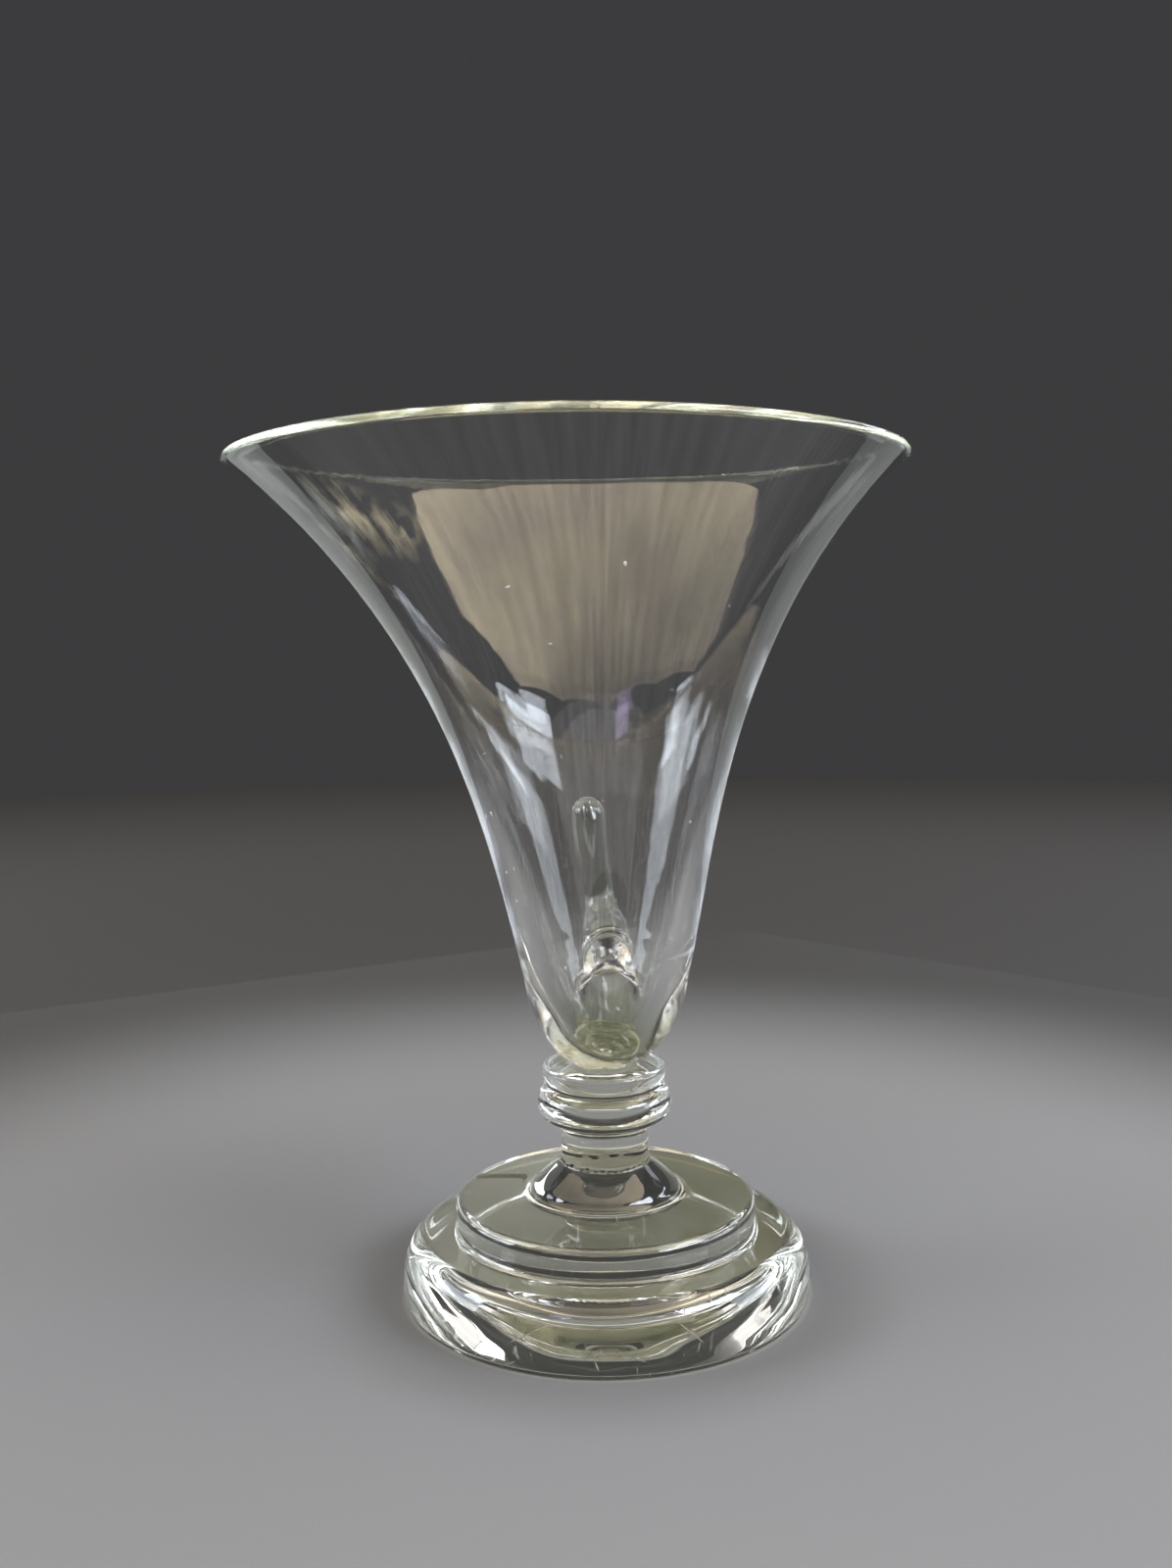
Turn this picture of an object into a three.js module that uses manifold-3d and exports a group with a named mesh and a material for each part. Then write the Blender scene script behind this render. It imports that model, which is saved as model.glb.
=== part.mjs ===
// A clear glass cornucopia vase, in millimetres, +Z up.
// The origin is the centre of the foot's flat underside. The front of the vase looks along -Y,
// and the horn's tail rises behind it, at +Y.
// The pieces are the gathers of glass that a glassmaker joins hot: a thick base, a domed disc on it,
// a short neck, a ring knop, a flange, the blown horn, and the tail drawn out of the horn's end.
// Neighbours meet face to face at flat joints, whose levels follow from the heights below.

import * as THREE from "three";
import { mergeVertices } from "three/addons/utils/BufferGeometryUtils.js";
import Module from "manifold-3d";

// Foot: a thick base with a domed disc on it
const baseDiameter = 115.4;
const baseHeight = 18;
const baseToeReach = 0.6; // how far the side draws in towards the floor
const baseToeHeight = 4.5; // height of the widest point
const baseShoulderReach = 7.9; // how far the shoulder draws in towards the top
const discDiameter = 84.8;
const discEdgeHeight = 9; // up to the top of the disc's rounded edge
const discEdgeRound = 2.4;
const discUndercut = 0.6; // how far the side leans in below the rounded edge
const discFillet = 2.2; // spread and height of the melted foot of the disc
const discCrown = 1.5; // rise of the disc's top from its edge to the dome
const domeDiameter = 42.8;
const domeHeight = 8.25;
const domeFillet = 3; // how far out on the disc the dome's soft foot starts
const throatSpread = 0.8; // the concave throat between dome and neck: its spread and height
const throatHeight = 2.5;

// Stem: neck, ring knop and flange
const neckDiameter = 24.6;
const neckHeight = 6;
const knopDiameter = 37.8;
const knopHeight = 13.5;
const knopRootDiameter = 32; // where the concave root turns into the knop's round
const knopRootHeight = 4.25;
const flangeDiameter = 35;
const flangeHeight = 6;
const flangeFootDiameter = 31; // the crease between knop and flange
const flangeLipRound = 1.2;
const flangeDish = 0.4; // depth of the ring-shaped dish round the horn's seat
const flangeLand = 1.6; // flat land left round the horn's seat

// Horn, with heights from its seat on the flange
const hornHeight = 171.25;
const mouthDiameter = 182.6;
const lipThickness = 3;
const lipAngle = THREE.MathUtils.degToRad(47); // of the flaring wall from the vertical
const gorgeHeight = 21.25; // where the flare starts above the rounded lower end
const gorgeDiameter = 44.8;
const flareTaper = 29.5; // steady growth of the radius over the whole flare
const flarePower = 3.35; // how late the rest of the flare opens
const bowlRound = 22.5; // depth of the lower end's full round, which the seat cuts off
const bowlFullness = 2.3;
const gorgeWall = 9;
const wallPower = 3.2; // how soon the wall thins above the gorge
const hollowDepth = 12; // of the hollow's rounded floor below the gorge
const hornBow = 1; // the lower horn first bows this far to +X
const bowHeight = 11;
const hornLean = 9; // then the mouth's centre leans this far to -X
const leanStart = 27.5;
const leanPower = 1.5;
const mouthDip = 2.8; // the mouth's left and right dip this far below its front and back

// Tail, drawn out of the horn's back, with heights from the horn's seat
const tailReach = 47; // from the horn's axis back to the upright rod
const tailRise = 68.25; // up to the top of the rounded tip
const tailRootHeight = 16.5;
const tailRootOffset = 2.2; // the root leaves the horn this far to +X
const tailSway = 4.5; // the rod ends this far to -X
const tailRootRadius = 11.2;
const tailElbowRadius = 10.4;
const tailRodRadius = 5.6;
const rodStart = 0.45; // shares of the tail's length between which it slims from the elbow to the rod
const rodEnd = 0.64;
const tailJoint = 28; // the joint's distance behind the horn's axis
const boreRadius = 7.8; // of the passage from the horn's hollow into the tail
const boreEnd = 0.47; // share of the tail's length where the passage closes
const boreTip = 0.09; // share of the tail's length over which it rounds off

const roundSegments = 48;
const tailSides = 24;

const discHeight = discEdgeHeight + discCrown + domeHeight + throatHeight;
const gorgeRadius = gorgeDiameter / 2;
const lipRadius = lipThickness / 2;
const lipCentreRadius = mouthDiameter / 2 - lipRadius;
const lipCentreHeight = hornHeight - lipRadius;
const flareTopRadius = lipCentreRadius + lipRadius * Math.cos(lipAngle);
const flareTopHeight = lipCentreHeight - lipRadius * Math.sin(lipAngle);

const wasm = await Module();
wasm.setup();

// Points of a profile: the place at each share of a curve, the first left out where a corner holds it.
function curvePoints(count, placeAt) {
  const points = [];
  for (let i = 1; i <= count; i++) {
    const [radius, height] = placeAt(i / count);
    points.push(new THREE.Vector2(radius, height));
  }
  return points;
}

// A quarter of an ellipse between two corners that leaves the first one upright.
function uprightQuarter(from, to, count) {
  return curvePoints(count, (t) => {
    const angle = (t * Math.PI) / 2;
    return [
      from[0] + (to[0] - from[0]) * (1 - Math.cos(angle)),
      from[1] + (to[1] - from[1]) * Math.sin(angle),
    ];
  });
}

// A quarter of an ellipse between two corners that leaves the first one level.
function levelQuarter(from, to, count) {
  return curvePoints(count, (t) => {
    const angle = (t * Math.PI) / 2;
    return [
      from[0] + (to[0] - from[0]) * Math.sin(angle),
      from[1] + (to[1] - from[1]) * (1 - Math.cos(angle)),
    ];
  });
}

// A curve between two corners that is drawn towards a third point.
function drawnCurve(from, pull, to, count) {
  return curvePoints(count, (t) => {
    const nearFrom = (1 - t) * (1 - t);
    const nearPull = 2 * t * (1 - t);
    const nearTo = t * t;
    return [
      nearFrom * from[0] + nearPull * pull[0] + nearTo * to[0],
      nearFrom * from[1] + nearPull * pull[1] + nearTo * to[1],
    ];
  });
}

// A solid turned about the upright axis. Its profile starts and ends on the axis.
function turned(profile, segments = roundSegments) {
  const geometry = new THREE.LatheGeometry(profile, segments);
  geometry.rotateX(Math.PI / 2);
  return geometry;
}

function toSolid(geometry) {
  const bare = geometry.clone();
  bare.deleteAttribute("normal");
  bare.deleteAttribute("uv");
  const merged = mergeVertices(bare, 1e-4);
  return new wasm.Manifold(new wasm.Mesh({
    numProp: 3,
    vertProperties: new Float32Array(merged.attributes.position.array),
    triVerts: new Uint32Array(merged.index.array),
  }));
}

function toGeometry(solid) {
  const mesh = solid.getMesh();
  const geometry = new THREE.BufferGeometry();
  geometry.setAttribute("position", new THREE.BufferAttribute(mesh.vertProperties, 3));
  geometry.setIndex(new THREE.BufferAttribute(mesh.triVerts, 1));
  geometry.computeVertexNormals();
  return geometry;
}

// Clear glass, with a straw tint where the metal is thick.
const thinGlass = { color: 0xe4e8e6, roughness: 0.04, metalness: 0, transparent: true, opacity: 0.3 };
const thickGlass = { color: 0xd6dacb, roughness: 0.05, metalness: 0, transparent: true, opacity: 0.45 };

function glassPiece(name, geometry, look) {
  const mesh = new THREE.Mesh(geometry, new THREE.MeshStandardMaterial(look));
  mesh.name = name;
  return mesh;
}

// The base: a flat ground underside, an upright side and a rounded shoulder.
function footBase() {
  const widest = baseDiameter / 2;
  const toe = [widest - baseToeReach, 0];
  const side = [widest, baseToeHeight];
  const shoulder = [widest - baseShoulderReach, baseHeight];
  return turned([
    new THREE.Vector2(0, 0),
    new THREE.Vector2(...toe),
    ...levelQuarter(toe, side, 4),
    ...uprightQuarter(side, shoulder, 7),
    new THREE.Vector2(0, baseHeight),
  ]);
}

// The disc: a melted foot, a rounded edge, a crowned top, a dome, and the throat that meets the neck.
function footDisc() {
  const widest = discDiameter / 2;
  const side = widest - discUndercut;
  const spread = [side + discFillet, 0];
  const filletTop = [side, discFillet];
  const edge = [widest, discEdgeHeight - discEdgeRound];
  const edgeTop = [widest - discEdgeRound, discEdgeHeight];
  const domeFoot = [domeDiameter / 2, discEdgeHeight + discCrown];
  const domeTop = [neckDiameter / 2 + throatSpread, domeFoot[1] + domeHeight];
  const domePull = [domeFoot[0] - 0.32 * (domeFoot[0] - domeTop[0]), domeFoot[1] + 0.5 * domeHeight];
  const crownSlope = discCrown / (edgeTop[0] - domeFoot[0]);
  const crownEnd = [domeFoot[0] + domeFillet, domeFoot[1] - crownSlope * domeFillet];
  const domeSide = [(domeFoot[0] + domePull[0]) / 2, (domeFoot[1] + domePull[1]) / 2];
  const neckSeat = [neckDiameter / 2, discHeight];
  return turned([
    new THREE.Vector2(0, 0),
    new THREE.Vector2(...spread),
    ...levelQuarter(spread, filletTop, 4),
    new THREE.Vector2(...edge),
    ...uprightQuarter(edge, edgeTop, 5),
    new THREE.Vector2(...crownEnd),
    ...drawnCurve(crownEnd, domeFoot, domeSide, 5),
    ...drawnCurve(domeSide, domePull, domeTop, 6),
    ...levelQuarter(domeTop, neckSeat, 3),
    new THREE.Vector2(0, discHeight),
  ]);
}

function stemNeck() {
  const radius = neckDiameter / 2;
  return turned([
    new THREE.Vector2(0, 0),
    new THREE.Vector2(radius, 0),
    new THREE.Vector2(radius, neckHeight),
    new THREE.Vector2(0, neckHeight),
  ]);
}

// The ring knop: a concave root on the neck, then a full round in to the crease under the flange.
function ringKnop() {
  const root = [neckDiameter / 2, 0];
  const rootTop = [knopRootDiameter / 2, knopRootHeight];
  const middle = (knopRootHeight + knopHeight) / 2;
  const halfHeight = (knopHeight - knopRootHeight) / 2;
  const crease = flangeFootDiameter / 2;
  return turned([
    new THREE.Vector2(0, 0),
    new THREE.Vector2(...root),
    ...uprightQuarter(root, rootTop, 4),
    ...curvePoints(10, (t) => {
      const angle = (t - 0.5) * Math.PI;
      const inner = rootTop[0] + (crease - rootTop[0]) * t;
      return [inner + (knopDiameter / 2 - inner) * Math.cos(angle), middle + halfHeight * Math.sin(angle)];
    }),
    new THREE.Vector2(0, knopHeight),
  ]);
}

// The flange: a flared collar with a round lip, and a shallow dish round the flat land that seats the horn.
function collarFlange() {
  const foot = [flangeFootDiameter / 2, 0];
  const lipCentre = [flangeDiameter / 2 - flangeLipRound, flangeHeight - flangeLipRound];
  const side = [flangeDiameter / 2, lipCentre[1]];
  const dishOuter = lipCentre[0] - flangeLipRound;
  const dishInner = outerRadius(0) + flangeLand;
  const dishRadius = (dishOuter - dishInner) / 2;
  return turned([
    new THREE.Vector2(0, 0),
    new THREE.Vector2(...foot),
    ...levelQuarter(foot, side, 4),
    ...curvePoints(6, (t) => [
      lipCentre[0] + flangeLipRound * Math.cos(t * Math.PI),
      lipCentre[1] + flangeLipRound * Math.sin(t * Math.PI),
    ]),
    ...curvePoints(6, (t) => [
      dishInner + dishRadius * (1 + Math.cos(t * Math.PI)),
      lipCentre[1] + flangeLipRound * t - flangeDish * Math.sin(t * Math.PI),
    ]),
    new THREE.Vector2(0, flangeHeight),
  ]);
}

// The horn's radius at a height, first as if the flare went on below the gorge, then rounded in there.
function flareRadius(height) {
  const share = (height - gorgeHeight) / (flareTopHeight - gorgeHeight);
  const lateFlare = flareTopRadius - gorgeRadius - flareTaper;
  return gorgeRadius + flareTaper * share + lateFlare * Math.pow(Math.max(share, 0), flarePower);
}

function roundedIn(height, depth) {
  const share = Math.max(gorgeHeight - height, 0) / depth;
  return Math.pow(1 - Math.pow(share, bowlFullness), 1 / bowlFullness);
}

function outerRadius(height) {
  return flareRadius(height) * roundedIn(height, bowlRound);
}

function flareSlope(height) {
  const step = 0.01;
  return (flareRadius(height + step) - flareRadius(height - step)) / (2 * step);
}

// The wall is measured square to the flare, and keeps its gorge thickness below the gorge.
function innerRadius(height) {
  const above = Math.max(height, gorgeHeight);
  const share = (hornHeight - above) / (hornHeight - gorgeHeight);
  const wall = lipThickness + (gorgeWall - lipThickness) * Math.pow(share, wallPower);
  const radius = flareRadius(height) - wall * Math.hypot(1, flareSlope(above));
  return radius * roundedIn(height, hollowDepth);
}

// Heights up a rounded lower end, closer together where it turns, and then up the flare.
function hornHeights(lowest, depth, roundCount, top, flareCount) {
  const heights = [];
  const steepest = Math.asin((gorgeHeight - lowest) / depth);
  for (let i = 0; i < roundCount; i++) {
    heights.push(gorgeHeight - depth * Math.sin(steepest * (1 - i / roundCount)));
  }
  for (let i = 0; i <= flareCount; i++) {
    heights.push(gorgeHeight + ((top - gorgeHeight) * i) / flareCount);
  }
  return heights;
}

// The horn's axis bows a little to +X above the seat and then leans to -X up to the mouth,
// while its left and right sides dip more and more.
function leaned(geometry) {
  const position = geometry.attributes.position;
  for (let i = 0; i < position.count; i++) {
    const height = position.getZ(i);
    const aside = position.getX(i) / (mouthDiameter / 2);
    const bow = hornBow * THREE.MathUtils.smoothstep(height, 0, bowHeight);
    const share = Math.max(height - leanStart, 0) / (hornHeight - leanStart);
    position.setX(i, position.getX(i) + bow - hornLean * Math.pow(share, leanPower));
    position.setZ(i, height - mouthDip * aside * aside * share);
  }
  return geometry;
}

function hollowProfile(top, flareCount) {
  const floor = gorgeHeight - hollowDepth;
  const points = [new THREE.Vector2(0, floor)];
  const nearFloor = floor + 0.01 * hollowDepth;
  for (const height of hornHeights(nearFloor, hollowDepth, 6, top, flareCount)) {
    points.push(new THREE.Vector2(innerRadius(height), height));
  }
  return points;
}

// The blown wall: up the outside, round the fire-polished lip and down the hollow to its floor.
function hornWall() {
  const profile = [new THREE.Vector2(0, 0)];
  for (const height of hornHeights(0, bowlRound, 7, flareTopHeight, 14)) {
    profile.push(new THREE.Vector2(outerRadius(height), height));
  }
  profile.push(...curvePoints(6, (t) => {
    const angle = t * Math.PI - lipAngle;
    return [lipCentreRadius + lipRadius * Math.cos(angle), lipCentreHeight + lipRadius * Math.sin(angle)];
  }));
  const innerTop = lipCentreHeight + lipRadius * Math.sin(lipAngle);
  profile.push(...hollowProfile(innerTop, 13).slice(0, -1).reverse());
  return leaned(turned(profile));
}

// The lower hollow as a solid, which keeps the tail's root out of the horn.
function hollowPlug() {
  const top = gorgeHeight + gorgeDiameter;
  return leaned(turned([...hollowProfile(top, 4), new THREE.Vector2(0, top)]));
}

// The tail's centre line: out of the horn's back, round the elbow, and up to the tip.
const tailLine = new THREE.CatmullRomCurve3([
  new THREE.Vector3(tailRootOffset, 0, tailRootHeight - 0.5),
  new THREE.Vector3(tailRootOffset, 0.35 * tailReach, tailRootHeight),
  new THREE.Vector3(tailRootOffset, 0.65 * tailReach, tailRootHeight + 0.045 * tailRise),
  new THREE.Vector3(0.2 * tailRootOffset, 0.88 * tailReach, tailRootHeight + 0.16 * tailRise),
  new THREE.Vector3(-0.3 * tailSway, 0.98 * tailReach, tailRootHeight + 0.31 * tailRise),
  new THREE.Vector3(-0.75 * tailSway, tailReach, tailRootHeight + 0.5 * tailRise),
  new THREE.Vector3(-tailSway, tailReach, tailRise),
], false, "centripetal");
const tailLength = tailLine.getLength();

// A round rod turned upright with the given radius at each share of the tail's length, then bent along it.
function alongTail(from, to, count, radiusAt, roundTip) {
  const profile = [new THREE.Vector2(0, from)];
  for (let i = 0; i < count; i++) {
    const share = from + ((to - roundTip - from) * i) / (count - 1);
    profile.push(new THREE.Vector2(radiusAt(share), share));
  }
  const tipRadius = radiusAt(to - roundTip);
  profile.push(...curvePoints(6, (t) => {
    const angle = (t * Math.PI) / 2;
    return [t < 1 ? tipRadius * Math.cos(angle) : 0, to - roundTip + roundTip * Math.sin(angle)];
  }));
  const geometry = turned(profile, tailSides);
  const position = geometry.attributes.position;
  const point = new THREE.Vector3();
  const sideways = new THREE.Vector3();
  const outward = new THREE.Vector3();
  for (let i = 0; i < position.count; i++) {
    const share = THREE.MathUtils.clamp(position.getZ(i), 0, 1);
    const forward = tailLine.getTangentAt(share);
    sideways.set(1, 0, 0).addScaledVector(forward, -forward.x).normalize();
    outward.crossVectors(forward, sideways);
    point.copy(tailLine.getPointAt(share));
    point.addScaledVector(sideways, position.getX(i)).addScaledVector(outward, position.getY(i));
    position.setXYZ(i, point.x, point.y, point.z);
  }
  return geometry;
}

// The tail's radius: full at the root, still wide round the elbow, then slim up the rod.
function tailRadius(share) {
  const elbow = THREE.MathUtils.smoothstep(share, 0.1, rodStart);
  const rod = THREE.MathUtils.smoothstep(share, rodStart, rodEnd);
  return tailRootRadius + (tailElbowRadius - tailRootRadius) * elbow + (tailRodRadius - tailElbowRadius) * rod;
}

const tailSolid = toSolid(alongTail(0, 1, 22, tailRadius, tailRodRadius / tailLength));
const boreSolid = toSolid(alongTail(0, boreEnd, 10, () => boreRadius, boreTip));

// The half of space in front of the joint, or behind it, as a box to cut the tail with.
function besideJoint(side) {
  const size = 4 * tailRise;
  const box = new THREE.BoxGeometry(size, size, size);
  box.translate(0, tailJoint + (side * size) / 2, 0);
  return toSolid(box);
}

// The horn keeps the root of the tail up to the joint, with the passage through it from the hollow.
function hornBowl() {
  const root = tailSolid.intersect(besideJoint(-1)).subtract(toSolid(hollowPlug()));
  return toGeometry(toSolid(hornWall()).add(root).subtract(boreSolid));
}

function hornTail() {
  return toGeometry(tailSolid.intersect(besideJoint(1)).subtract(boreSolid));
}

const foot = new THREE.Group();
foot.add(glassPiece("foot_base", footBase(), thickGlass));
const disc = glassPiece("foot_disc", footDisc(), thickGlass);
disc.position.z = baseHeight;
foot.add(disc);

const stem = new THREE.Group();
stem.position.z = baseHeight + discHeight;
stem.add(glassPiece("stem_neck", stemNeck(), thickGlass));
const knop = glassPiece("ring_knop", ringKnop(), thickGlass);
knop.position.z = neckHeight;
stem.add(knop);
const flange = glassPiece("collar_flange", collarFlange(), thickGlass);
flange.position.z = neckHeight + knopHeight;
stem.add(flange);

const horn = new THREE.Group();
horn.position.z = stem.position.z + flange.position.z + flangeHeight;
horn.add(glassPiece("horn_bowl", hornBowl(), thinGlass));
horn.add(glassPiece("horn_tail", hornTail(), thickGlass));

const vase = new THREE.Group();
vase.add(foot, stem, horn);

export default vase;
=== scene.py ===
# %% [markdown]
# # A clear glass cornucopia vase
# The vase is a blown horn of clear glass on a stepped round foot, and the horn's tail turns up behind it.
# This lesson dresses the measured solids of the vase: each gather of glass becomes a fine, smooth, closed
# mesh, because glass shows every facet twice, once where light goes in and once where it comes out.
# All sizes are millimetres in the text and metres in Blender.

# %% Load the measured vase
import math
import random

import bmesh
import bpy
from mathutils import Matrix, Vector
from mathutils.geometry import delaunay_2d_cdt


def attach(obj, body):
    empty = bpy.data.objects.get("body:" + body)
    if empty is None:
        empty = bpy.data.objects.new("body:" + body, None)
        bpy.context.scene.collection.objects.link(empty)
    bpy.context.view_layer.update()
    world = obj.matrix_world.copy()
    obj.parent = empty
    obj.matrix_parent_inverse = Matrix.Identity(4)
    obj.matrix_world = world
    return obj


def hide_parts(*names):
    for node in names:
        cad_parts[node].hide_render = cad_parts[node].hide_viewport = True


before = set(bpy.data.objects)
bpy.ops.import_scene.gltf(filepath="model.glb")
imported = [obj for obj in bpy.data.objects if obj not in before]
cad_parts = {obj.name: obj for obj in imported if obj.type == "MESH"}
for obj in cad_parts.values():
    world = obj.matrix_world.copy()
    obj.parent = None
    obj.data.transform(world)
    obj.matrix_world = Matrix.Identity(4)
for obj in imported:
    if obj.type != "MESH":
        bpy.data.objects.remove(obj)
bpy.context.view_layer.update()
MM = 0.001
print("solids:", sorted(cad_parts))

# %% [markdown]
# The camera stands where the photographer's did: a little over 40 cm in front of the vase, just below
# the height of the mouth, and tipped slightly down. The mouth is above the lens, so its rim is seen
# from beneath, and the foot is seen from above. A picture this close shows strong perspective, so the
# distance matters more here than the focal length.

# %% Place the camera
camera_place = Vector((0.0, -431.1, 190.7)) * MM
camera_pitch = math.radians(6.2)
camera_roll = math.radians(-0.82)
camera_turn = math.radians(-0.52)

camera_data = bpy.data.cameras.new("camera")
camera_data.sensor_width = 36.0
camera_data.lens = 36.0
camera = bpy.data.objects.new("camera", camera_data)
bpy.context.scene.collection.objects.link(camera)
bpy.context.scene.camera = camera

looking = Vector((
    math.sin(camera_turn) * math.cos(camera_pitch),
    math.cos(camera_turn) * math.cos(camera_pitch),
    -math.sin(camera_pitch),
))
level = Vector((math.cos(camera_turn), -math.sin(camera_turn), 0.0))
upward = level.cross(looking)
side = math.cos(camera_roll) * level + math.sin(camera_roll) * upward
top = math.cos(camera_roll) * upward - math.sin(camera_roll) * level
camera.matrix_world = Matrix.Translation(camera_place) @ Matrix((side, top, -looking)).transposed().to_4x4()
print("camera looks along", [round(v, 3) for v in looking])

# %% [markdown]
# Clear glass has almost no colour of its own, so what it needs is something to show: a pale floor to
# lighten its thick parts, and dark surroundings to make its edges stand out. The floor is a wide disc
# that stays pale round the foot and falls away to dark grey further out. A radial blend does this
# better than a wall would, because the vase then looks the same from every side. Right under the foot
# the floor is painted paler still, as painted light in place of the light that the glass lets through,
# and just outside the foot a dark ring is a painted contact shadow.

# %% Lay the floor
def new_material(name):
    """An empty finish with one Principled shader, which is returned with it."""
    material = bpy.data.materials.new(name)
    material.use_nodes = True
    nodes = material.node_tree.nodes
    nodes.clear()
    output = nodes.new("ShaderNodeOutputMaterial")
    shader = nodes.new("ShaderNodeBsdfPrincipled")
    material.node_tree.links.new(shader.outputs["BSDF"], output.inputs["Surface"])
    return material, shader


def colour_blend(material, factor, stops):
    """Blends smoothly through the stops, each given as (place, colour), as the factor grows."""
    ramp = material.node_tree.nodes.new("ShaderNodeValToRGB")
    ramp.color_ramp.interpolation = "EASE"
    for place, colour in stops[2:]:
        ramp.color_ramp.elements.new(place)
    for element, (place, colour) in zip(ramp.color_ramp.elements, stops):
        element.position = place
        element.color = (*colour, 1.0)
    material.node_tree.links.new(factor, ramp.inputs["Fac"])
    return ramp.outputs["Color"]


def object_place(material):
    """The place on the object itself, in metres."""
    return material.node_tree.nodes.new("ShaderNodeTexCoord").outputs["Object"]


def vector_math(material, operation, *values):
    """One step of arithmetic on vectors. Each value is another node's output, or a fixed vector."""
    node = material.node_tree.nodes.new("ShaderNodeVectorMath")
    node.operation = operation
    for socket, value in zip(node.inputs, values):
        if isinstance(value, tuple):
            socket.default_value = value
        else:
            material.node_tree.links.new(value, socket)
    return node.outputs


FLOOR_RADIUS = 1400 * MM
FLOOR_DROP = 0.2 * MM  # the film of air under the ground face of the foot
floor_mesh = bpy.data.meshes.new("floor")
floor_shape = bmesh.new()
bmesh.ops.create_circle(floor_shape, cap_ends=True, segments=96, radius=FLOOR_RADIUS)
floor_shape.to_mesh(floor_mesh)
floor_shape.free()
floor = bpy.data.objects.new("floor", floor_mesh)
floor.location.z = -FLOOR_DROP
bpy.context.scene.collection.objects.link(floor)

floor_finish, floor_shader = new_material("pale_floor")
floor_reach = vector_math(floor_finish, "LENGTH", object_place(floor_finish))["Value"]
# Painted light and shadow: paler under the foot, as painted light in place of light through the glass, and a
# dark ring just outside the foot, as a painted contact shadow.
floor_colour_and_painted_light = colour_blend(floor_finish, floor_reach, [
    (0.056, (0.33, 0.325, 0.30)),
    (0.059, (0.103, 0.109, 0.121)),
    (0.09, (0.142, 0.151, 0.168)),
    (0.20, (0.142, 0.151, 0.168)),
    (0.41, (0.026, 0.027, 0.0305)),
    (1.0, (0.044, 0.045, 0.050)),
])
floor_finish.node_tree.links.new(floor_colour_and_painted_light, floor_shader.inputs["Base Color"])
floor_shader.inputs["Roughness"].default_value = 0.9
floor_mesh.materials.append(floor_finish)
print("floor", FLOOR_RADIUS, "m in radius")

# %% [markdown]
# The studio is a dim grey room with a large warm ceiling and cool daylight from windows at both sides.
# Polished glass shows its surroundings small and bent: the inside of the horn's back wall mirrors the
# ceiling as a brown veil and the windows as bright broken marks. So each light is placed by the
# direction in which the glass looks for it, as an angle round the vase and an angle above the table.

# %% Light the studio
def parts_of(material, place):
    """The X, Y and Z of a place as three outputs."""
    node = material.node_tree.nodes.new("ShaderNodeSeparateXYZ")
    material.node_tree.links.new(place, node.inputs["Vector"])
    return node.outputs


world = bpy.data.worlds.new("studio")
bpy.context.scene.world = world
world.use_nodes = True
world_nodes = world.node_tree.nodes
world_links = world.node_tree.links
world_nodes.clear()
world_output = world_nodes.new("ShaderNodeOutputWorld")
world_glow = world_nodes.new("ShaderNodeBackground")
world_aim = world_nodes.new("ShaderNodeTexCoord").outputs["Generated"]
world_colour = colour_blend(world, parts_of(world, world_aim)["Z"], [
    (0.0, (0.045, 0.045, 0.047)),
    (0.70, (0.045, 0.046, 0.049)),
    (0.92, (0.12, 0.12, 0.115)),
    (1.0, (0.22, 0.21, 0.19)),
])
world_links.new(world_colour, world_glow.inputs["Color"])
world_links.new(world_glow.outputs["Background"], world_output.inputs["Surface"])
world_glow.inputs["Strength"].default_value = 1.0
print("the room glows at", world_glow.inputs["Strength"].default_value)

# %% [markdown]
# A window is an area light. It is placed by direction and distance from the middle of the horn, and it
# always faces the horn. Its power follows from its size, so that a bigger window isn't a dimmer one.
# The patches behind the vase are only meant as gleams, so they light neither the floor nor the view
# through the glass.

# %% Hang the windows
HORN_MIDDLE = Vector((0.0, 0.0, 0.16))


def direction(turn, rise):
    """A direction from the horn: turn is measured from the camera's side towards +X, rise above level."""
    turn, rise = math.radians(turn), math.radians(rise)
    return Vector((math.sin(turn) * math.cos(rise), -math.cos(turn) * math.cos(rise), math.sin(rise)))


def panel_light(name, turn, rise, distance, width, height, glow, colour):
    """A soft panel that faces the horn. Glow is its brightness, whatever its size."""
    data = bpy.data.lights.new(name, "AREA")
    data.shape = "RECTANGLE"
    data.size = width
    data.size_y = height
    data.energy = glow * math.pi * width * height
    data.color = colour
    light = bpy.data.objects.new(name, data)
    light.location = HORN_MIDDLE + direction(turn, rise) * distance
    light.rotation_euler = (-direction(turn, rise)).to_track_quat("-Z", "Y").to_euler()
    light.visible_camera = False
    bpy.context.scene.collection.objects.link(light)
    return light


DAYLIGHT = (0.9, 0.97, 1.1)
FLOOR_LIGHT = (0.93, 1.0, 0.97)
EVEN = (1.0, 1.0, 1.0)
panel_light("right_window_a", 56, 34, 1.2, 0.38, 0.27, 20.0, DAYLIGHT)
panel_light("right_window_b", 77, 32, 1.2, 0.38, 0.25, 18.0, DAYLIGHT)
panel_light("left_window", -84, 25, 1.2, 0.28, 0.22, 15.0, DAYLIGHT)
panel_light("left_back_window", -120, 12, 1.2, 0.12, 0.1, 12.0, DAYLIGHT)
panel_light("right_back_window", 110, 20, 1.2, 0.6, 0.04, 12.0, DAYLIGHT)
panel_light("lilac_lamp", -30, 37, 1.0, 0.2, 0.1, 4.0, (0.75, 0.6, 1.0))
panel_light("front_wall", 0, 30, 1.2, 2.5, 0.5, 1.1, (0.97, 0.93, 1.0))
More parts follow.
